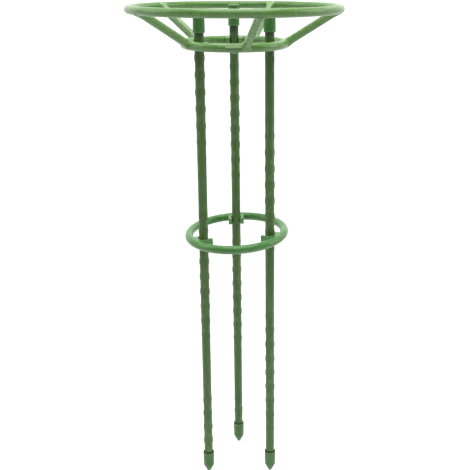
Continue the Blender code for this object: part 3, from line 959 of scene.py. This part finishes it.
def build_basket(material):
    """The base ring, with the rim and the arms placed from it in the basket's slight tilt."""
    middle = tilted_place(middle_height("basket_base_ring"), BASKET_PITCH, BASKET_ROLL)
    at_rim = middle @ Matrix.Translation((0, 0, BASKET_DEPTH))
    ring = clipped_ring_mesh("base_ring", BASE_RING_RADIUS, BASE_CLIP_EAR, plated=True)
    rim = rim_mesh("rim")
    add_piece("rim", rim, "basket", "basket_rim", material, at_rim)
    add_piece("base_ring", ring, "basket", "basket_base_ring", material, middle)
    for i, side in enumerate(ARMS):
        name = f"arm_{side}"
        place = middle @ Matrix.Rotation(FIRST_ARM + math.tau * i / len(ARMS), 4, "Z")
        add_piece(name, arm_mesh(name), "basket", f"basket_{name}", material, place)


def build_mid_ring(material):
    """The mid ring, in its own tilt."""
    ring = clipped_ring_mesh("middle_ring", MID_RING_RADIUS, MID_CLIP_EAR, plated=False)
    place = tilted_place(middle_height("mid_ring"), MID_RING_PITCH, MID_RING_ROLL)
    add_piece("middle_ring", ring, "mid_ring", "mid_ring", material, place)


def build_stakes(coating, cap_plastic, point_plastic, steel):
    """The coatings, caps and points of the three stakes, and the looks of their steel tubes."""
    for name, (direction, first_nub, facing_height) in STAKES.items():
        stake = f"stake_{name}"
        axis = Matrix.Rotation(direction, 3, "Z") @ Vector((STAKE_CIRCLE, 0, 0))
        on_axis = Matrix.Translation(axis)
        low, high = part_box(f"{stake}_coating")
        sleeve = f"{stake}_sleeve"
        tube = coating_mesh(sleeve, low.z, high.z, first_nub, facing_height)
        add_piece(sleeve, tube, stake, f"{stake}_coating", coating, on_axis)
        cap = f"{stake}_top_cap"
        at_cap = Matrix.Translation((axis.x, axis.y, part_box(f"{stake}_cap")[0].z))
        add_piece(cap, cap_mesh(cap), stake, f"{stake}_cap", cap_plastic, at_cap)
        point = f"{stake}_ground_point"
        add_piece(point, point_mesh(point), stake, f"{stake}_point", point_plastic, on_axis)
        tube_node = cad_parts[f"{stake}_steel_tube"]
        tube_node.data.materials.clear()
        tube_node.data.materials.append(steel)


def build_camera():
    """The fitted camera. Its lens axis meets the picture away from its middle, so the lens is shifted."""
    camera = bpy.data.cameras.new("camera")
    camera.sensor_width = SENSOR
    camera.lens = FOCAL_PIXELS / PICTURE * SENSOR
    camera.shift_x = 0.5 - PRINCIPAL_X / PICTURE
    camera.shift_y = PRINCIPAL_Y / PICTURE - 0.5
    camera.clip_start = CLIP_NEAR
    camera.clip_end = 10 * FLOOR_SIZE
    obj = bpy.data.objects.new("camera", camera)
    bpy.context.scene.collection.objects.link(obj)
    forward = Vector((0, math.cos(CAMERA_PITCH), -math.sin(CAMERA_PITCH)))
    right = Vector((1, 0, 0))
    up = right.cross(forward)
    level_right = math.cos(CAMERA_ROLL) * right + math.sin(CAMERA_ROLL) * up
    level_up = -math.sin(CAMERA_ROLL) * right + math.cos(CAMERA_ROLL) * up
    turn = Matrix((level_right, level_up, -forward)).transposed()
    obj.matrix_world = Matrix.Translation(CAMERA_PLACE) @ turn.to_4x4()
    bpy.context.scene.camera = obj


def seen_rays(tree):
    """1 for the rays that show the background: camera, glossy and transmission rays."""
    path = add_node(tree, "ShaderNodeLightPath").outputs
    return arithmetic(
        tree,
        "MAXIMUM",
        arithmetic(tree, "MAXIMUM", path["Is Camera Ray"], path["Is Glossy Ray"]),
        path["Is Transmission Ray"],
    )


def build_floor():
    """A white floor with its shadows. What is seen of it is lifted towards white, more so with distance."""
    half = FLOOR_SIZE / 2
    mesh = bpy.data.meshes.new("floor")
    corners = [(-half, -half), (half, -half), (half, half), (-half, half)]
    mesh.from_pydata([(x, y, -FLOOR_DROP) for x, y in corners], [], [(0, 1, 2, 3)])
    material = bpy.data.materials.new("studio floor")
    material.use_nodes = True
    tree = material.node_tree
    tree.nodes.clear()
    place = add_node(tree, "ShaderNodeTexCoord").outputs["Object"]
    away = add_node(tree, "ShaderNodeVectorMath", {0: place}, operation="LENGTH").outputs["Value"]
    lift = map_range(tree, away, FLOOR_NEAR, FLOOR_LIFT_FAR, FLOOR_LIFT, 1.0)
    lifted = arithmetic(tree, "MULTIPLY", lift, seen_rays(tree))
    glow = add_node(tree, "ShaderNodeEmission", {"Strength": lifted})
    dimming = map_range(tree, away, FLOOR_NEAR, FLOOR_DIM_FAR, 0.0, 1.0)
    pale = mix_colours(tree, dimming, FLOOR_PALE, FLOOR_DIM)
    matt = add_node(tree, "ShaderNodeBsdfDiffuse", {"Color": pale})
    both = add_node(tree, "ShaderNodeAddShader", {0: glow.outputs[0], 1: matt.outputs[0]})
    add_node(tree, "ShaderNodeOutputMaterial", {"Surface": both.outputs[0]})
    mesh.materials.append(material)
    floor = bpy.data.objects.new("floor", mesh)
    bpy.context.scene.collection.objects.link(floor)


def build_world():
    """White surroundings: bright behind the cage, and dim in front of it, where a studio is dark."""
    world = bpy.data.worlds.new("studio")
    bpy.context.scene.world = world
    world.use_nodes = True
    tree = world.node_tree
    tree.nodes.clear()
    direction = add_node(tree, "ShaderNodeTexCoord").outputs["Generated"]
    backwards = add_node(tree, "ShaderNodeSeparateXYZ", {"Vector": direction}).outputs["Y"]
    behind = map_range(tree, backwards, *BEHIND_RANGE, 0.0, WORLD_BEHIND)
    in_front = map_range(tree, backwards, *IN_FRONT_RANGE, WORLD_IN_FRONT, 0.0)
    seen = add_node(tree, "ShaderNodeLightPath").outputs["Is Camera Ray"]
    strength = arithmetic(tree, "MAXIMUM", arithmetic(tree, "ADD", behind, in_front), seen)
    white = {"Color": (1.0, 1.0, 1.0, 1.0), "Strength": strength}
    background = add_node(tree, "ShaderNodeBackground", white)
    add_node(tree, "ShaderNodeOutputWorld", {"Surface": background.outputs[0]})


def build_lights():
    """Four softboxes that look at the middle of the cage."""
    for name, (place, width, height, power) in SOFTBOXES.items():
        light = bpy.data.lights.new(name, "AREA")
        light.shape = "RECTANGLE"
        light.size = width
        light.size_y = height
        light.energy = power
        softbox = bpy.data.objects.new(name, light)
        bpy.context.scene.collection.objects.link(softbox)
        softbox.location = place
        softbox.rotation_mode = "QUATERNION"
        look = Vector(LIGHT_TARGET) - Vector(place)
        softbox.rotation_quaternion = look.to_track_quat("-Z", "Y")


build_camera()
build_floor()
build_world()
build_lights()
build_basket(moulded_plastic("basket plastic"))
build_mid_ring(moulded_plastic("mid ring plastic"))
build_stakes(
    moulded_plastic("stake coating"),
    moulded_plastic("cap plastic"),
    moulded_plastic("point plastic"),
    galvanised_steel(),
)

bpy.context.scene.view_settings.view_transform = "Standard"
